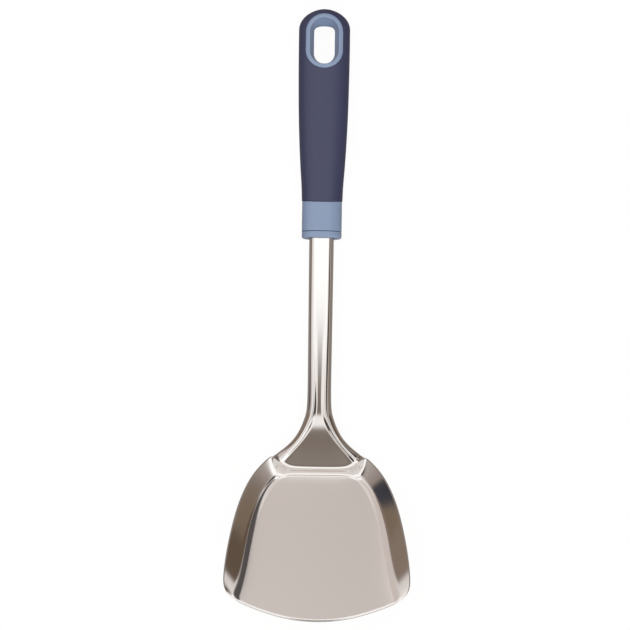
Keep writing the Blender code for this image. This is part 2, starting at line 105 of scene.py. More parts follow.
def finishWith(piece, kind, **settings):
    # adds a modifier and applies it
    selectOnly(piece)
    modifier = piece.modifiers.new(kind.lower(), kind)
    for name, value in settings.items():
        setattr(modifier, name, value)
    bpy.ops.object.modifier_apply(modifier=modifier.name)


def smoothShade(piece, angle):
    selectOnly(piece)
    bpy.ops.object.shade_smooth_by_angle(angle=math.radians(angle))


def mix(low, high, share):
    return low + (high - low) * share


def shareAt(table, place):
    # a smooth curve through a table of places and shares
    last = len(table) - 1
    number = min(last - 1, max(0, sum(place >= start for start, share in table) - 1))
    points = [table[min(last, max(0, number + step))] for step in (-1, 0, 1, 2)]
    (start, low), (end, high) = points[1:3]
    span = end - start
    way = min(1, max(0, (place - start) / span))
    slopes = [(after[1] - before[1]) / (after[0] - before[0]) * span
              for before, after in (points[0::2], points[1::2])]
    bend = way * way * (3 - 2 * way)
    return (mix(low, high, bend) + slopes[0] * way * (1 - way) ** 2
            - slopes[1] * way * way * (1 - way))


# Materials: sRGB hex to linear, and one way to add a node


def colour(text):
    channels = [int(text[place:place + 2], 16) / 255 for place in (1, 3, 5)]
    linear = [c / 12.92 if c <= 0.04045 else ((c + 0.055) / 1.055) ** 2.4 for c in channels]
    return (*linear, 1)


def addNode(tree, kind, links=None, **settings):
    # inputs go by name, or by number where several have the same name
    node = tree.nodes.new("ShaderNode" + kind)
    for name, value in settings.items():
        setattr(node, name, value)
    for name, value in (links or {}).items():
        if isinstance(value, bpy.types.NodeSocket):
            tree.links.new(value, node.inputs[name])
        else:
            node.inputs[name].default_value = value
    return node


def mixColours(tree, share, first, second):
    return addNode(tree, "Mix", {0: share, 6: first, 7: second}, data_type="RGBA").outputs[2]


def newMaterial(name):
    material = bpy.data.materials.new(name)
    material.use_nodes = True
    material.node_tree.nodes.clear()
    return material, material.node_tree


def dress(piece, material):
    piece.data.materials.clear()
    piece.data.materials.append(material)


# Stainless steel sheet, polished all over, then satin brushed along its length on the flat of
# the blade. It gives the eye the room's light and dark bands in the walls, the neck and the
# shank, and a soft even grey on the flat. The attribute "brushed" on the sheet says where.
steelLook = {
    "colour": "#dad8d6",
    "brushedColour": "#e5e1de",
    "roughness": 0.10,
    "brushedRoughness": 0.42,
    # the values of the attribute between which polished turns into brushed
    "brushedEdge": (0.42, 0.58),
    # brushing lines per metre, across and along: each is about 0.4 mm wide and 17 mm long
    "lines": (2600, 60, 2600),
    "lineDetail": 3.0,
    "lineStrength": 0.12,
    "lineDepth": 0.00005,
}


def stainlessSteel(look):
    material, tree = newMaterial("stainlessSteelPolishedAndBrushed")
    place = addNode(tree, "TexCoord").outputs["Object"]
    brushed = addNode(tree, "Attribute", attribute_name="brushed").outputs["Fac"]
    start, end = look["brushedEdge"]
    edge = addNode(tree, "MapRange", {"Value": brushed, "From Min": start, "From Max": end},
                   interpolation_type="SMOOTHSTEP").outputs[0]
    lines = addNode(tree, "Mapping", {"Vector": place, "Scale": look["lines"]}).outputs[0]
    grain = addNode(tree, "TexNoise", {"Vector": lines, "Scale": 1.0,
                                       "Detail": look["lineDetail"]}).outputs[0]
    tint = mixColours(tree, edge, colour(look["colour"]), colour(look["brushedColour"]))
    rough = addNode(tree, "Mix", {0: edge, 2: look["roughness"],
                                  3: look["brushedRoughness"]}).outputs[0]
    depth = addNode(tree, "Math", {0: edge, 1: look["lineStrength"]},
                    operation="MULTIPLY").outputs[0]
    bump = addNode(tree, "Bump", {"Height": grain, "Strength": depth,
                                  "Distance": look["lineDepth"]}).outputs[0]
    shader = addNode(tree, "BsdfPrincipled", {"Base Color": tint, "Roughness": rough,
                                              "Normal": bump, "Metallic": 1.0})
    addNode(tree, "OutputMaterial", {"Surface": shader.outputs[0]})
    return material


# Polypropylene from a satin mould. It gives the eye an even light blue with broad, soft
# highlights. The grain is in spots per metre, about 0.7 mm each.
plasticLook = {
    "colour": "#8ea3c3",
    "roughness": 0.34,
    "grain": 1400.0,
    "grainDetail": 2.0,
    "grainStrength": 0.08,
    "grainDepth": 0.0001,
}
# Thermoplastic elastomer, soft to the hand. It gives the eye a deep navy whose fine grain, about
# 0.55 mm, spreads the light into a dull sheen along the grip.
gripLook = {
    "colour": "#3b4060",
    "roughness": 0.40,
    "grain": 1800.0,
    "grainDetail": 2.0,
    "grainStrength": 0.25,
    "grainDepth": 0.0001,
}


def moulded(name, look):
    material, tree = newMaterial(name)
    place = addNode(tree, "TexCoord").outputs["Object"]
    skin = addNode(tree, "TexNoise", {"Vector": place, "Scale": look["grain"],
                                      "Detail": look["grainDetail"]}).outputs[0]
    bump = addNode(tree, "Bump", {"Height": skin, "Strength": look["grainStrength"],
                                  "Distance": look["grainDepth"]}).outputs[0]
    shader = addNode(tree, "BsdfPrincipled", {"Base Color": colour(look["colour"]),
                                              "Roughness": look["roughness"], "Normal": bump})
    addNode(tree, "OutputMaterial", {"Surface": shader.outputs[0]})
    return material


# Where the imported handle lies: the end cap's face along Y, and the height of the handle's axis
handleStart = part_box("end_cap")[0].y
handleAxis = (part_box("handle_core")[0].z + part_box("handle_core")[1].z) / 2

# The pressing: blade, neck, rolled shank and tang in one sheet, as rows of points across half of
# it from the tip to the tang's end. Lengths are in metres, and the rows hold shares of them.
pressing = {
    "sheet": 0.0015,
    "tipEdge": 0.0007,
    "bladeLength": 0.0906,
    "bladeHalfWidth": 0.05339,
    "bladeTilt": math.radians(24),
    "rimHeight": 0.009,
    "heelRise": 0.000353,
    "heelCorner": 0.0033,
    "heelRound": 0.0031,
    "heelWidthShare": 0.378,
    "backWallLean": math.radians(5),
    "backWallRound": 0.0007,
    "neckLength": 0.0314,
    "neckDrop": 0.0036,
    "ridgeWidth": 0.0035,
    "ridgeHeight": 0.0014,
    "valleyLength": 0.051,
    "valleyWidthShare": 0.15,
    "shankLength": 0.0516,
    "shankWidthAtNeck": 0.0136,
    "shankWidth": 0.0146,
    "shankDepth": 0.0094,
    "shankCorner": 0.0021,
    "slotWidth": 0.0048,
    "tangLength": 0.0742,
    "axisHeight": 0.00875,
    # the points across half a row: over the floor to its edge, then from the wall's foot to the rim
    "floorShares": (0.0, 0.45, 0.84, 1.0),
    "wallShares": (0.25, 0.45, 0.63, 0.77, 0.88, 0.96, 1.0),
    "footShare": 0.22,
    # the corner between flat and wall grows rounder towards the tip: from where and over how much
    # of the blade's length, its reach on each side, and how far its middle rises
    "roundFrom": 0.09,
    "roundOver": 0.7,
    "tipCornerReach": 0.0033,
    "tipCornerLift": 0.55,
    # the ridge beside the recess, in shares of its width and height, then its shoulder, in shares
    # of its width and of the drop to its outer corner, then the turn into the curled lip
    "ridgeShares": ((0.15, 0.10), (0.31, 0.56), (0.48, 1.0)),
    "neckShoulder": (0.73, 0.50),
    "shankShoulder": (0.79, 0.20),
    "underRiseShare": 0.25,
    "underWayShare": 0.33,
    # from the tip: the middle of the row along the blade, the floor's edge across and along, the
    # rim across, along and in height, and the bow, which says how late the row bends
    "bladeRows": (
        (-1.000, (0.838, -0.866), (0.910, -0.846, 0.12), 2.2),
        (-0.992, (0.838, -0.857), (0.940, -0.830, 0.24), 2.2),
        (-0.972, (0.836, -0.840), (0.967, -0.805, 0.41), 2.1),
        (-0.925, (0.820, -0.805), (0.988, -0.769, 0.58), 2.0),
        (-0.820, (0.790, -0.731), (0.984, -0.690, 0.76), 2.2),
        (-0.640, (0.754, -0.587), (0.958, -0.548, 0.88), 2.5),
        (-0.440, (0.721, -0.421), (0.906, -0.377, 0.92), 3.0),
        (-0.240, (0.657, -0.256), (0.838, -0.210, 0.95), 3.0),
        (-0.095, (0.562, -0.118), (0.722, -0.052, 0.98), 5.0),
        (-0.035, (0.468, -0.050), (0.600, 0.036, 1.00), 12.0),
    ),
    "heelEdge": (0.418, -0.024),
    "heelRim": (0.530, 0.078, 1.00),
    "heelBow": 24,
    # shares of the way from the heel to the neck's first row: the recess's edge in plan and in
    # height, the ridge in plan, its crest's height and its lip's height
    "backWallRows": ((0.45, 0.12, 0.36, 0.42, 0.30), (0.88, 0.84, 0.72, 0.84, 0.75)),
    "backWallBow": 12,
    "gussetShares": (0.38, 0.70),
    # along the neck at the middle and at the recess's edge, that edge's width, the floor's rise,
    # the way that the ridge faces in degrees, its width, height and drop to its outer corner, how
    # deep the flank goes, and the lip's curl
    "neckRows": (
        (0.000, 0.070, 0.990, 0.00, 45, 1.75, 0.90, 0.85, 0.74, 0.00),
        (0.032, 0.125, 0.950, 0.00, 43, 1.55, 1.00, 0.85, 0.76, 0.00),
        (0.240, 0.300, 0.712, 0.02, 41, 1.12, 1.08, 0.85, 0.82, 0.00),
        (0.460, 0.484, 0.460, 0.06, 38, 1.12, 1.20, 0.90, 0.90, 0.08),
        (0.690, 0.688, 0.250, 0.215, 32, 1.40, 1.40, 0.95, 0.96, 0.30),
        (0.835, 0.835, 0.135, 0.385, 22, 1.57, 1.20, 1.00, 0.98, 0.48),
        (1.000, 1.000, 0.044, 0.68, 10, 1.62, 0.60, 1.00, 1.00, 0.60),
    ),
    "neckBow": 2,
    # along the valley, the floor's rise and the ridge's height
    "valleyRows": ((0.22, 0.80, 0.42), (0.55, 0.91, 0.22), (1.00, 0.99, 0.00)),
    # how brushed each row is from the tip: on the flat, and at the corner with the wall. The flat
    # is fully brushed from brushedFrom on, measured from that corner.
    "brushedRows": ((0, 0), (0.3, 0.2), (1, 0.4), (1, 0.42), (1, 0.42), (1, 0.40), (1, 0.36),
                    (1, 0.30), (1, 0.20), (1, 0.1), (0.42, 0)),
    "brushedFrom": 0.0032,
    "mergeWithin": 0.00001,
    "smoothing": 3,
    "smoothAngle": 60,
}


def bladePoint(size, across, along, height):
    # a place over the tilted blade, counted from the middle of its heel
    cosine = math.cos(size["bladeTilt"])
    sine = math.sin(size["bladeTilt"])
    return Vector((across, along * cosine + height * sine,
                   size["heelRise"] - along * sine + height * cosine))


def floorPoints(size, centre, edge, bow, shares=None):
    # the floor of half a row, from its middle to its edge
    points = []
    for share in shares or size["floorShares"]:
        bend = share ** bow
        points.append(Vector((edge.x * share, mix(centre.y, edge.y, bend),
                              mix(centre.z, edge.z, bend))))
    return points


def bladeRow(size, centreAlong, edgeShares, rimShares, bow):
    width = size["bladeHalfWidth"]
    length = size["bladeLength"]
    centre = bladePoint(size, 0, centreAlong, 0)
    edge = bladePoint(size, edgeShares[0] * width, edgeShares[1] * length, 0)
    across, along, height = rimShares
    belowRim = bladePoint(size, across * width, along * length, 0)
    rim = bladePoint(size, across * width, along * length, height * size["rimHeight"])
    foot = edge.lerp(belowRim, size["footShare"])
    way = min(1, max(0, (-centreAlong / length - size["roundFrom"]) / size["roundOver"]))
    reach = size["tipCornerReach"]
    start, middle, inner, end = size["floorShares"]
    inner = mix(inner, 1 - reach / edge.x, way)
    floor = floorPoints(size, centre, edge, bow, (start, middle, inner, end))
    foot = foot.lerp(edge + (rim - edge).normalized() * reach, way)
    floor[-1] = floor[-1].lerp((floor[-2] + foot) / 2, size["tipCornerLift"] * way)
    return floor + [foot] + [foot.lerp(rim, share) for share in size["wallShares"]]


def ridgePoints(size, edge, heading, width, height, cornerDrop, flankBottom, lip, slope=1):
    # the step beside the recess, the crest, the shoulder, the flank and the curled lip. The
    # shoulder slopes as it does at the neck, 1, or lies as level as on the shank, 0.
    outward = Vector((math.cos(heading), math.sin(heading), 0))
    points = []
    for widthShare, heightShare in size["ridgeShares"]:
        lift = Vector((0, 0, height * heightShare))
        points.append(edge + outward * width * widthShare + lift)
    crest = points[-1].z
    shoulderShares = [mix(level, steep, slope) for level, steep in zip(size["shankShoulder"],
                                                                        size["neckShoulder"])]
    shoulder = edge + outward * width * shoulderShares[0]
    shoulder.z = crest - cornerDrop * shoulderShares[1]
    outer = edge + outward * width
    top = crest - cornerDrop
    low = min(size["shankCorner"], (top - flankBottom) / 2)
    curl = Vector((-lip, 0, 0))
    under = Vector((outer.x, outer.y, flankBottom + low * size["underRiseShare"]))
    return points + [
        shoulder,
        Vector((outer.x, outer.y, top)),
        Vector((outer.x, outer.y, flankBottom + low)),
        under + curl * size["underWayShare"],
        Vector((outer.x, outer.y, flankBottom)) + curl,
    ]


def neckRow(size, shares, neckStart, neckHeight, shankTop, shankBottom):
    centre, along, width, rise, heading, ridge, height, drop, depth, curl = shares
    z = neckHeight + rise * size["neckDrop"]
    edge = Vector((width * size["heelWidthShare"] * size["bladeHalfWidth"],
                   neckStart + along * size["neckLength"], z))
    bow = size["backWallBow"] if centre < along else size["neckBow"]
    middle = Vector((0, neckStart + centre * size["neckLength"], z))
    return floorPoints(size, middle, edge, bow) + ridgePoints(
        size, edge, math.radians(heading), ridge * size["ridgeWidth"],
        height * size["ridgeHeight"], drop * size["shankCorner"],
        shankTop - depth * (shankTop - shankBottom), curl * size["shankWidthAtNeck"] / 2)


def backWallRow(size, heel, neck, centre, shares):
    # a row up the back wall, whose end climbs from the blade's wall to the ridge's dome
    edgeShare, edgeRise, planShare, crestShare, lipShare = shares
    last = len(size["floorShares"]) - 1
    edge = heel[last].lerp(neck[last], edgeShare)
    edge.z = mix(heel[last].z, neck[last].z, edgeRise)
    ridgeFrom = len(size["floorShares"]) + len(size["gussetShares"])
    pairs = list(zip(heel[ridgeFrom:], neck[ridgeFrom:]))
    ridge = []
    for number, (below, above) in enumerate(pairs):
        point = below.lerp(above, planShare)
        rise = mix(crestShare, lipShare, number / (len(pairs) - 1))
        point.z = mix(below.z, above.z, rise)
        ridge.append(point)
    gusset = [edge.lerp(ridge[0], share) for share in size["gussetShares"]]
    return floorPoints(size, centre, edge, size["backWallBow"]) + gusset + ridge


def pressingRows(size):
    rows = [bladeRow(size, centre * size["bladeLength"], edge, rim, bow)
            for centre, edge, rim, bow in size["bladeRows"]]
    heel = bladeRow(size, size["heelCorner"] - size["heelRound"], size["heelEdge"],
                    size["heelRim"], size["heelBow"])
    half = (size["shankDepth"] - size["sheet"]) / 2
    shankTop = size["axisHeight"] + half
    shankBottom = size["axisHeight"] - half
    neckHeight = shankTop - size["neckDrop"]
    heelCentre = bladePoint(size, 0, size["heelCorner"], 0)
    wallTop = heelCentre.copy()
    wallTop.y += (neckHeight - heelCentre.z) * math.tan(size["backWallLean"])
    wallTop.z = neckHeight
    neckStart = wallTop.y + size["backWallRound"]
    neckEnd = neckStart + size["neckLength"]
    neck = [neckRow(size, shares, neckStart, neckHeight, shankTop, shankBottom)
            for shares in size["neckRows"]]
    up = (wallTop - heelCentre).normalized()
    centres = (heelCentre + up * size["heelRound"], wallTop - up * size["backWallRound"])
    rows.append(heel)
    for centre, shares in zip(centres, size["backWallRows"]):
        rows.append(backWallRow(size, heel, neck[0], centre, shares))
    rows += neck
    valleyEnd = neckEnd + size["valleyLength"]
    shankEnd = valleyEnd + size["shankLength"]
    stations = [(neckEnd + along * size["valleyLength"], rise, height, 1 - along)
                for along, rise, height in size["valleyRows"]]
    for y in (valleyEnd + size["shankLength"] / 2, shankEnd, shankEnd + size["tangLength"]):
        stations.append((y, 1, 0, 0))
    for y, rise, height, slope in stations:
        way = min(1, (y - neckEnd) / (shankEnd - neckEnd))
        halfWidth = (mix(size["shankWidthAtNeck"], size["shankWidth"], way) - size["sheet"]) / 2
        edge = Vector((halfWidth * size["valleyWidthShare"], y,
                       neckHeight + rise * size["neckDrop"]))
        floor = floorPoints(size, Vector((0, y, edge.z)), edge, size["neckBow"])
        rows.append(floor + ridgePoints(
            size, edge, 0, halfWidth - edge.x, height * size["ridgeHeight"], size["shankCorner"],
            shankBottom, halfWidth - size["slotWidth"] / 2, slope))
    return rows, shankEnd


def makePressing(size):
    rows, shankEnd = pressingRows(size)
    columns = len(rows[0])
    deselectAll()
    bpy.ops.mesh.primitive_grid_add(x_subdivisions=columns - 1, y_subdivisions=len(rows) - 1,
                                    size=1)
    sheet = bpy.context.object
    sheet.name = "steelPressing"
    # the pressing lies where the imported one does, and its shank ends at the end cap's face
    shift = Vector((0, handleStart - shankEnd, handleAxis - size["axisHeight"]))
    for vertex, point in zip(sheet.data.vertices, [point for row in rows for point in row]):
        vertex.co = point + shift
    gauge = sheet.vertex_groups.new(name="gauge")
    gauge.add(range(len(sheet.data.vertices)), 1, "REPLACE")
    gauge.add(range(columns), size["tipEdge"] / size["sheet"], "REPLACE")
    shares = []
    # the place of the floor's edge in a row
    edge = len(size["floorShares"]) - 1
    polished = ((0, 0),) * (len(rows) - len(size["brushedRows"]))
    for row, (flat, corner) in zip(rows, size["brushedRows"] + polished):
        shares += [flat * min(1, (row[edge] - point).length / size["brushedFrom"])
                   for point in row[:edge]]
        shares += [corner] + [0] * (columns - edge - 1)
    sheet.data.attributes.new("brushed", "FLOAT", "POINT").data.foreach_set("value", shares)
    finishWith(sheet, "MIRROR", use_clip=True, merge_threshold=size["mergeWithin"])
    finishWith(sheet, "SUBSURF", levels=size["smoothing"], render_levels=size["smoothing"])
    finishWith(sheet, "SOLIDIFY", thickness=size["sheet"], offset=0, use_even_offset=True,
               vertex_group="gauge")
    smoothShade(sheet, size["smoothAngle"])
    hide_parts("blade_and_shank")
    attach(sheet, "root")
    print("pressing made:", len(sheet.data.polygons), "faces")
    return sheet


# The handle's three pieces: an oval form whose width and depth follow tables of shares along
# it. The form is counted from the end cap's face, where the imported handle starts.
handle = {
    "corners": 64,
    "ovalPower": 2.4,
    "length": 0.1367,
    "width": 0.0303,
    "depth": 0.01742,
    "capLength": 0.0038,
    "collarLength": 0.0180,
    "collarWidth": 0.0234,
    "widthShares": ((0.0, 0.788), (0.08, 0.812), (0.18, 0.866), (0.31, 0.921),
                    (0.45, 0.962), (0.60, 0.986), (0.78, 1.0), (1.0, 1.0)),
    "depthShares": ((0.0, 0.914), (0.30, 0.965), (0.60, 1.0), (1.0, 0.965)),
    # the rounded end: how long it is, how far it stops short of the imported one, the power of its
    # curve from the side, and the turn of its last section
    "endRound": 0.012,
    "endShort": 0.0002,
    "endPower": 4,
    "endTurn": math.radians(86),
    "endSteps": 12,
    "bodySteps": 40,
    "gap": 0.0003,
    "gripWall": 0.0022,
    # how far forward the edge between collar and grip dips at the top and the bottom, and how far
    # the dip reaches along the grip and along the core
    "gripDip": 0.0011,
    "gripDipReach": 0.010,
    "coreDipReach": 0.001,
    "capRound": 0.0012,
    "seamRound": 0.0003,
    "lipRound": 0.0005,
    "spigotLength": 0.004,
    "spigotInset": 0.0030,
    "boreRoom": 0.0001,
    "boreOvershoot": 0.01,
    "boreSteps": 6,
    "roundSteps": 5,
    "smoothAngle": 40,
}
# The hang hole: a ring with wide mouths at both faces and a narrow waist between them
hangHole = {
    "toEnd": 0.0201,
    "width": 0.0221,
    "length": 0.0328,
    "band": 0.0026,
    "corners": 96,
    "waistHalfWidth": 0.00615,
    "waistBottom": -0.0122,
    "waistTop": 0.0104,
    "waistTopHeight": 0.0038,
    "waistPower": 2.6,
    # half height of the waist in shares of the handle's half depth, the ways from the mouth to it
    # at which the wall has a loop, and the height of the last loop in shares of the waist's
    "waistShare": 0.06,
    "wallWays": (0.5, 0.93),
    "waistLoop": 0.8,
    # the ring's face: how far from its outer outline, or beyond its mouth, and how deep
    "outerSteps": ((0.0, 0.0009), (0.0, 0.00030), (0.00006, 0.00012), (0.00018, 0.00003),
                   (0.0004, 0.0), (0.0012, 0.0)),
    "mouthSteps": ((0.0007, 0.0), (0.0004, 0.00005), (0.00015, 0.0002), (0.00003, 0.00045),
                   (0.0, 0.0008)),
}
handleEnd = handleStart + handle["length"]
gripStart = handleStart + handle["capLength"] + handle["collarLength"]


def handleSection(y, inset=0):
    # half width and half depth of the handle's form, drawn in by the inset
    roundStart = handleEnd - handle["endRound"]
    behind = max(0, (min(y, roundStart) - gripStart) / (handleEnd - gripStart))
    halfWidth = shareAt(handle["widthShares"], behind) * handle["width"] / 2
    if y < gripStart:
        halfWidth = handle["collarWidth"] / 2
    halfDepth = shareAt(handle["depthShares"], behind) * handle["depth"] / 2
    if y > roundStart:
        sine = min(1, (y - roundStart) / (handle["endRound"] - handle["endShort"] - inset))
        power = handle["endPower"]
        return ((halfWidth - inset) * math.sqrt(1 - sine * sine),
                (halfDepth - inset) * (1 - sine ** power) ** (1 / power))
    return halfWidth - inset, halfDepth - inset


def bodySections(start, inset):
    # sections of the form from start to its rounded end
    roundStart = handleEnd - handle["endRound"]
    reach = handle["endRound"] - handle["endShort"] - inset
    places = [mix(start, roundStart, step / handle["bodySteps"])
              for step in range(handle["bodySteps"])]
    for step in range(handle["endSteps"] + 1):
        turn = handle["endTurn"] * step / handle["endSteps"]
        places.append(roundStart + reach * math.sin(turn))
    return [(y, *handleSection(y, inset)) for y in places]


def roundedEdge(y, radius, forward):
    # sections of a rounded edge that starts its face at y and turns into the side behind it
    sections = []
    for step in range(handle["roundSteps"] + 1):
        turn = math.pi / 2 * step / handle["roundSteps"]
        place = y + forward * radius * (1 - math.cos(turn))
        inset = radius * (1 - math.sin(turn))
        sections.append((place, *handleSection(y + forward * radius, inset)))
    return sections


def ovalBar(name, sections):
    # an oval face, drawn out through the sections by extruding and scaling it
    y, halfWidth, halfDepth = sections[0]
    power = 2 / handle["ovalPower"]
    deselectAll()
    bpy.ops.mesh.primitive_circle_add(vertices=handle["corners"], radius=1, fill_type="NGON",
                                      location=(0, y, handleAxis), rotation=(math.pi / 2, 0, 0))
    piece = bpy.context.object
    piece.name = name
    bpy.ops.object.transform_apply(location=True, rotation=True, scale=True)
    for vertex in piece.data.vertices:
        across = vertex.co.x
        up = vertex.co.z - handleAxis
        vertex.co.x = math.copysign(abs(across) ** power, across) * halfWidth
        vertex.co.z = handleAxis + math.copysign(abs(up) ** power, up) * halfDepth
    bpy.ops.object.mode_set(mode="EDIT")
    bpy.ops.mesh.select_all(action="SELECT")
    for (fromY, fromWidth, fromDepth), (y, halfWidth, halfDepth) in zip(sections, sections[1:]):
        bpy.ops.mesh.extrude_region_move(TRANSFORM_OT_translate={"value": (0, y - fromY, 0)})
        bpy.ops.transform.resize(value=(halfWidth / fromWidth, 1, halfDepth / fromDepth),
                                 center_override=(0, y, handleAxis))
    bpy.ops.mesh.select_all(action="SELECT")
    bpy.ops.mesh.normals_make_consistent(inside=False)
    bpy.ops.object.mode_set(mode="OBJECT")
    return piece


def dipEdge(piece, reach):
    # the edge between the collar and the grip lies further forward at the top and the bottom
    halfDepth = handleSection(gripStart)[1]
    for vertex in piece.data.vertices:
        rise = min(1, abs(vertex.co.z - handleAxis) / halfDepth) ** handle["ovalPower"]
        fade = 1 - min(1, abs(vertex.co.y - gripStart) / reach)
        vertex.co.y -= handle["gripDip"] * rise * fade


def combine(piece, other, operation):
    finishWith(piece, "BOOLEAN", object=other, operation=operation, solver="EXACT")
    bpy.data.objects.remove(other, do_unlink=True)


def shankRoom(name, start, end):
    # a box round the shank with round long edges, for the cap's bore and the tang's room
    room = handle["boreRoom"]
    deselectAll()
    bpy.ops.mesh.primitive_cube_add(size=1, location=(0, (start + end) / 2, handleAxis))
    box = bpy.context.object
    box.name = name
    bpy.ops.transform.resize(value=(pressing["shankWidth"] + 2 * room, end - start,
                                    pressing["shankDepth"] + 2 * room))
    bpy.ops.object.transform_apply(location=True, rotation=True, scale=True)
    bpy.ops.object.mode_set(mode="EDIT")
    bpy.ops.mesh.select_mode(type="EDGE")
    bpy.ops.mesh.select_all(action="DESELECT")
    bpy.ops.object.mode_set(mode="OBJECT")
    # only the edges along Y are rounded
    for edge in box.data.edges:
        first, second = [box.data.vertices[number].co for number in edge.vertices]
        edge.select = abs(first.y - second.y) > (end - start) / 2
    bpy.ops.object.mode_set(mode="EDIT")
    bpy.ops.mesh.bevel(offset=pressing["shankCorner"], segments=handle["boreSteps"])
    bpy.ops.object.mode_set(mode="OBJECT")
    return box


def ringOutline(outset):
    # the ring's outer outline, a stadium, moved out by the outset
    radius = hangHole["width"] / 2 + outset
    reach = (hangHole["length"] - hangHole["width"]) / 2
    middle = handleEnd - hangHole["toEnd"]
    points = []
    for number in range(hangHole["corners"]):
        angle = 2 * math.pi * (number + 0.5) / hangHole["corners"]
        points.append((radius * math.cos(angle),
                       middle + math.copysign(reach, math.sin(angle)) + radius * math.sin(angle)))
    return points


def waistOutline():
    # the narrow waist's outline: a half circle towards the blade, a flatter arch at the other end
    half = hangHole["waistHalfWidth"]
    middle = handleEnd - hangHole["toEnd"]
    power = 2 / hangHole["waistPower"]
    height = hangHole["waistTopHeight"]
    points = []
    for number in range(hangHole["corners"]):
        angle = 2 * math.pi * (number + 0.5) / hangHole["corners"]
        cosine, sine = math.cos(angle), math.sin(angle)
        if sine > 0:
            points.append((half * math.copysign(abs(cosine) ** power, cosine),
                           middle + hangHole["waistTop"] - height + height * sine ** power))
        else:
            points.append((half * cosine, middle + hangHole["waistBottom"] + half + half * sine))
    return points


def faceHeight(x, y):
    # height of the handle's face over its axis
    halfWidth, halfDepth = handleSection(y)
    share = min(1, abs(x) / halfWidth)
    return halfDepth * (1 - share ** handle["ovalPower"]) ** (1 / handle["ovalPower"])


def ringFromTorus(name, loops):
    # a torus whose rings of vertices are moved to the loops, each a list of places
    deselectAll()
    bpy.ops.mesh.primitive_torus_add(major_segments=hangHole["corners"],
                                     minor_segments=len(loops))
    piece = bpy.context.object
    piece.name = name
    for number, vertex in enumerate(piece.data.vertices):
        vertex.co = loops[number % len(loops)][number // len(loops)]
    bpy.ops.object.mode_set(mode="EDIT")
    bpy.ops.mesh.select_all(action="SELECT")
    bpy.ops.mesh.normals_make_consistent(inside=False)
    bpy.ops.object.mode_set(mode="OBJECT")
    return piece


def hangRing():
    # loops over the upper face and down to the waist, then the same mirrored for the lower half
    mouth = -hangHole["band"]
    loops = []
    for inset, drop in hangHole["outerSteps"]:
        loops.append([(x, y, faceHeight(x, y) - drop) for x, y in ringOutline(-inset)])
    for outset, drop in hangHole["mouthSteps"]:
        loops.append([(x, y, faceHeight(x, y) - drop) for x, y in ringOutline(mouth + outset)])
    height = hangHole["waistShare"] * handleSection(handleEnd - hangHole["toEnd"])[1]
    edge = loops[-1]
    for way in hangHole["wallWays"]:
        loops.append([(mix(x, waistX, way), mix(y, waistY, way), mix(z, height, way))
                      for (x, y, z), (waistX, waistY) in zip(edge, waistOutline())])
    loops.append([(x, y, height * hangHole["waistLoop"]) for x, y in waistOutline()])
    loops += [[(x, y, -z) for x, y, z in loop] for loop in reversed(loops)]
    return ringFromTorus("hangRing", [[Vector((x, y, handleAxis + z)) for x, y, z in loop]
                                      for loop in loops])


def ringPrism(name, outset):
    # an upright prism with the ring's outline, taller than the handle is deep
    deselectAll()
    bpy.ops.mesh.primitive_cylinder_add(vertices=hangHole["corners"], radius=1,
                                        depth=2 * handle["depth"], location=(0, 0, handleAxis))
    prism = bpy.context.object
    prism.name = name
    bpy.ops.object.transform_apply(location=True, rotation=True, scale=True)
    outline = ringOutline(outset)
    for vertex in prism.data.vertices:
        angle = math.atan2(vertex.co.y, vertex.co.x) % (2 * math.pi)
        number = round(angle / (2 * math.pi) * hangHole["corners"] - 0.5) % hangHole["corners"]
        vertex.co.x, vertex.co.y = outline[number]
    return prism


def makeEndCap():
    seam = handleStart + handle["capLength"] - handle["gap"] / 2
    sections = roundedEdge(handleStart, handle["capRound"], 1)
    sections += roundedEdge(seam, handle["seamRound"], -1)[::-1]
    inner = handleSection(seam, handle["spigotInset"])
    sections += [(seam, *inner), (seam + handle["spigotLength"], *inner)]
    cap = ovalBar("endCap", sections)
    over = handle["boreOvershoot"]
    combine(cap, shankRoom("bore", handleStart - over, seam + over), "DIFFERENCE")
    smoothShade(cap, handle["smoothAngle"])
    return cap


def makeHandleBody():
    start = handleStart + handle["capLength"] + handle["gap"] / 2
    collarEnd = gripStart - handle["gap"] / 2
    inset = handle["gripWall"] + handle["gap"]
    sections = roundedEdge(start, handle["seamRound"], 1)
    sections += [(collarEnd, *handleSection(start)), (collarEnd, *handleSection(collarEnd, inset))]
    sections += bodySections(collarEnd, inset)[1:]
    body = ovalBar("handleBody", sections)
    dipEdge(body, handle["coreDipReach"])
    combine(body, ringPrism("ringRoom", -handle["gap"]), "DIFFERENCE")
    combine(body, hangRing(), "UNION")
    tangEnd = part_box("blade_and_shank")[1].y
    tangRoom = shankRoom("tangRoom", start - handle["boreOvershoot"], tangEnd + handle["gap"])
    combine(body, tangRoom, "DIFFERENCE")
    smoothShade(body, handle["smoothAngle"])
    return body


def makeGrip():
    start = gripStart + handle["gap"] / 2
    inner = bodySections(start, handle["gripWall"])
    outer = bodySections(start + handle["lipRound"], 0)
    lip = roundedEdge(start, handle["lipRound"], 1)
    grip = ovalBar("softGrip", inner[::-1] + lip + outer[1:])
    dipEdge(grip, handle["gripDipReach"])
    # the window stands off the ring by only a third of the gap, so the joint looks closed
    combine(grip, ringPrism("ringWindow", handle["gap"] / 3), "DIFFERENCE")
    smoothShade(grip, handle["smoothAngle"])
    return grip


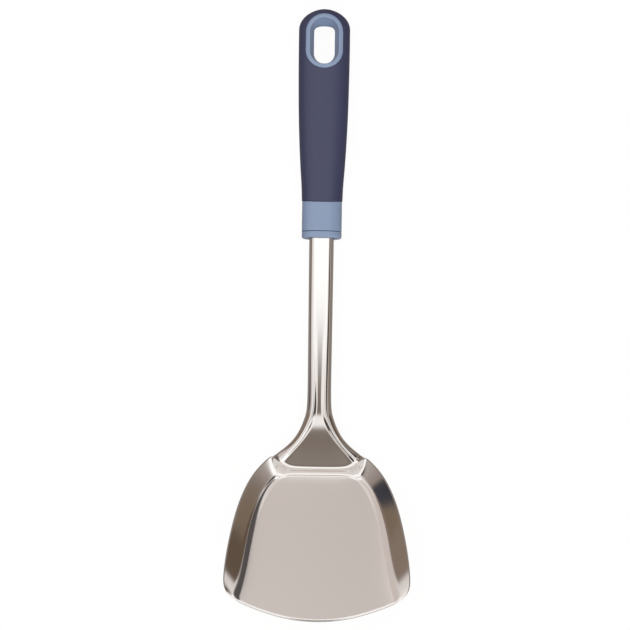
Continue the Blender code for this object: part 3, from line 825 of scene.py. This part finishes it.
# A pale tent with a large soft lamp over the turner, behind the camera, and a brown room seen
# low down. The stops go from the horizon, 0, to the top, 1. The lamp and the hole are ellipses
# nearly straight above, in shares of the sky's half width, each with the places between which its
# edge is soft. The hole is the tent's dark opening for the camera, and the flat of the blade
# shows it. Each card is a dark or a pale place in the tent: its turn round from +X, its height,
# where its edge begins and ends, all in degrees, and its colour.
studio = {
    "level": 1.5,
    "stops": ((0.0, "#75624f"), (0.10, "#6f6152"), (0.22, "#7f736b"), (0.36, "#9b928d"),
              (0.52, "#cbc4c1"), (0.70, "#dcd6d3"), (0.84, "#e6e1df"), (0.95, "#e8e4e2")),
    "lamp": "#ffffff",
    "lampCentre": (0.0, 0.20),
    "lampReach": (0.48, 0.17),
    "lampEdge": (0.85, 1.10),
    "hole": "#72675f",
    "holeCentre": (0.0, -0.085),
    "holeReach": (0.20, 0.165),
    "holeEdge": (0.48, 1.12),
    "cards": ((122, 36, 16, 30, "#c0b6b1"), (160, 17, 6, 13, "#7c6d62"),
              (181, 8, 4, 11, "#35363c"), (56, 38, 17, 24, "#4f4b49"),
              (24, 17, 8, 15, "#5a4c40"), (228, 18, 16, 28, "#3d3834"),
              (353, 44, 12, 21, "#4a423b"), (312, 28, 10, 30, "#ffffff"),
              (268, 38, 27, 35, "#f4f0ee")),
}


def ellipseShare(tree, x, y, centre, reach, edge):
    # 0 inside an ellipse over the turner, 1 outside it
    sides = []
    for side, middle, half in zip((x, y), centre, reach):
        away = addNode(tree, "Math", {0: side, 1: middle}, operation="SUBTRACT").outputs[0]
        sides.append(addNode(tree, "Math", {0: away, 1: half}, operation="DIVIDE").outputs[0])
    flat = addNode(tree, "CombineXYZ", {0: sides[0], 1: sides[1]}).outputs[0]
    length = addNode(tree, "VectorMath", {0: flat}, operation="LENGTH").outputs["Value"]
    return addNode(tree, "MapRange", {"Value": length, "From Min": edge[0], "From Max": edge[1]},
                   interpolation_type="SMOOTHSTEP").outputs[0]


def lightStudio(look):
    world = bpy.data.worlds.new("studio")
    bpy.context.scene.world = world
    world.use_nodes = True
    tree = world.node_tree
    tree.nodes.clear()
    way = addNode(tree, "TexCoord").outputs["Generated"]
    # the top of the sky, z 1, is straight above, and x and y lie as in the scene
    x, y, z = addNode(tree, "SeparateXYZ", {0: way}).outputs
    wall = addNode(tree, "ValToRGB", {0: z})
    stops = wall.color_ramp.elements
    for number, (height, shade) in enumerate(look["stops"]):
        stop = stops[number] if number < 2 else stops.new(height)
        stop.position = height
        stop.color = colour(shade)
    tent = wall.outputs[0]
    for turn, height, inner, outer, shade in look["cards"]:
        turn, height, inner, outer = [math.radians(angle) for angle in (turn, height, inner, outer)]
        middle = (math.cos(turn) * math.cos(height), math.sin(turn) * math.cos(height),
                  math.sin(height))
        nearness = addNode(tree, "VectorMath", {0: way, 1: middle},
                           operation="DOT_PRODUCT").outputs["Value"]
        beside = addNode(tree, "MapRange", {"Value": nearness, "From Min": math.cos(inner),
                                            "From Max": math.cos(outer)},
                         interpolation_type="SMOOTHSTEP").outputs[0]
        tent = mixColours(tree, beside, colour(shade), tent)
    for name in ("lamp", "hole"):
        beside = ellipseShare(tree, x, y, look[name + "Centre"], look[name + "Reach"],
                              look[name + "Edge"])
        tent = mixColours(tree, beside, colour(look[name]), tent)
    light = addNode(tree, "Background", {0: tent, 1: look["level"]}).outputs[0]
    # the camera itself sees plain white, as in the photograph
    white = addNode(tree, "Background", {0: (1, 1, 1, 1), 1: 1.0}).outputs[0]
    seen = addNode(tree, "LightPath").outputs["Is Camera Ray"]
    both = addNode(tree, "MixShader", {0: seen, 1: light, 2: white}).outputs[0]
    addNode(tree, "OutputWorld", {"Surface": both})


# A white table under the turner. The camera sees it shine as plain white, and the polished steel
# mirrors it as grey as the far end of a table. The rest of its light comes from the tent.
whiteTable = {
    "size": 6,
    "shine": 1.16,
    "inSteel": "#a0958e",
    "ownColour": 0.35,
    "shineShare": 0.82,
}


def grey(level):
    return (level, level, level, 1)


def layFloor(look):
    deselectAll()
    bpy.ops.mesh.primitive_plane_add(size=look["size"], location=(0, 0, cadBox[0].z))
    floor = bpy.context.object
    floor.name = "floor"
    material, tree = newMaterial("whiteTable")
    path = addNode(tree, "LightPath").outputs
    shade = mixColours(tree, path["Is Glossy Ray"], grey(look["shine"]), colour(look["inSteel"]))
    plain = addNode(tree, "BsdfDiffuse", {0: grey(look["ownColour"])}).outputs[0]
    glow = addNode(tree, "Emission", {0: shade, 1: 1.0}).outputs[0]
    seen = addNode(tree, "Math", {0: path["Is Camera Ray"], 1: path["Is Glossy Ray"]},
                   operation="MAXIMUM").outputs[0]
    share = addNode(tree, "Math", {0: seen, 1: look["shineShare"]},
                    operation="MULTIPLY").outputs[0]
    both = addNode(tree, "MixShader", {0: share, 1: plain, 2: glow}).outputs[0]
    addNode(tree, "OutputMaterial", {"Surface": both})
    dress(floor, material)


setCamera(photoCamera)
lightStudio(studio)
layFloor(whiteTable)
print("studio lit")

steel = stainlessSteel(steelLook)
lightBlue = moulded("mouldedPolypropyleneLightBlue", plasticLook)
navy = moulded("thermoplasticElastomerNavy", gripLook)

sheet = makePressing(pressing)
dress(sheet, steel)
for piece, node, finish, slot in (
        (makeEndCap(), "end_cap", lightBlue, "light_blue_plastic"),
        (makeHandleBody(), "handle_core", lightBlue, "light_blue_plastic"),
        (makeGrip(), "grip_cover", navy, "navy_soft_grip")):
    dress(piece, finish)
    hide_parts(node)
    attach(piece, "root")
print("handle made")
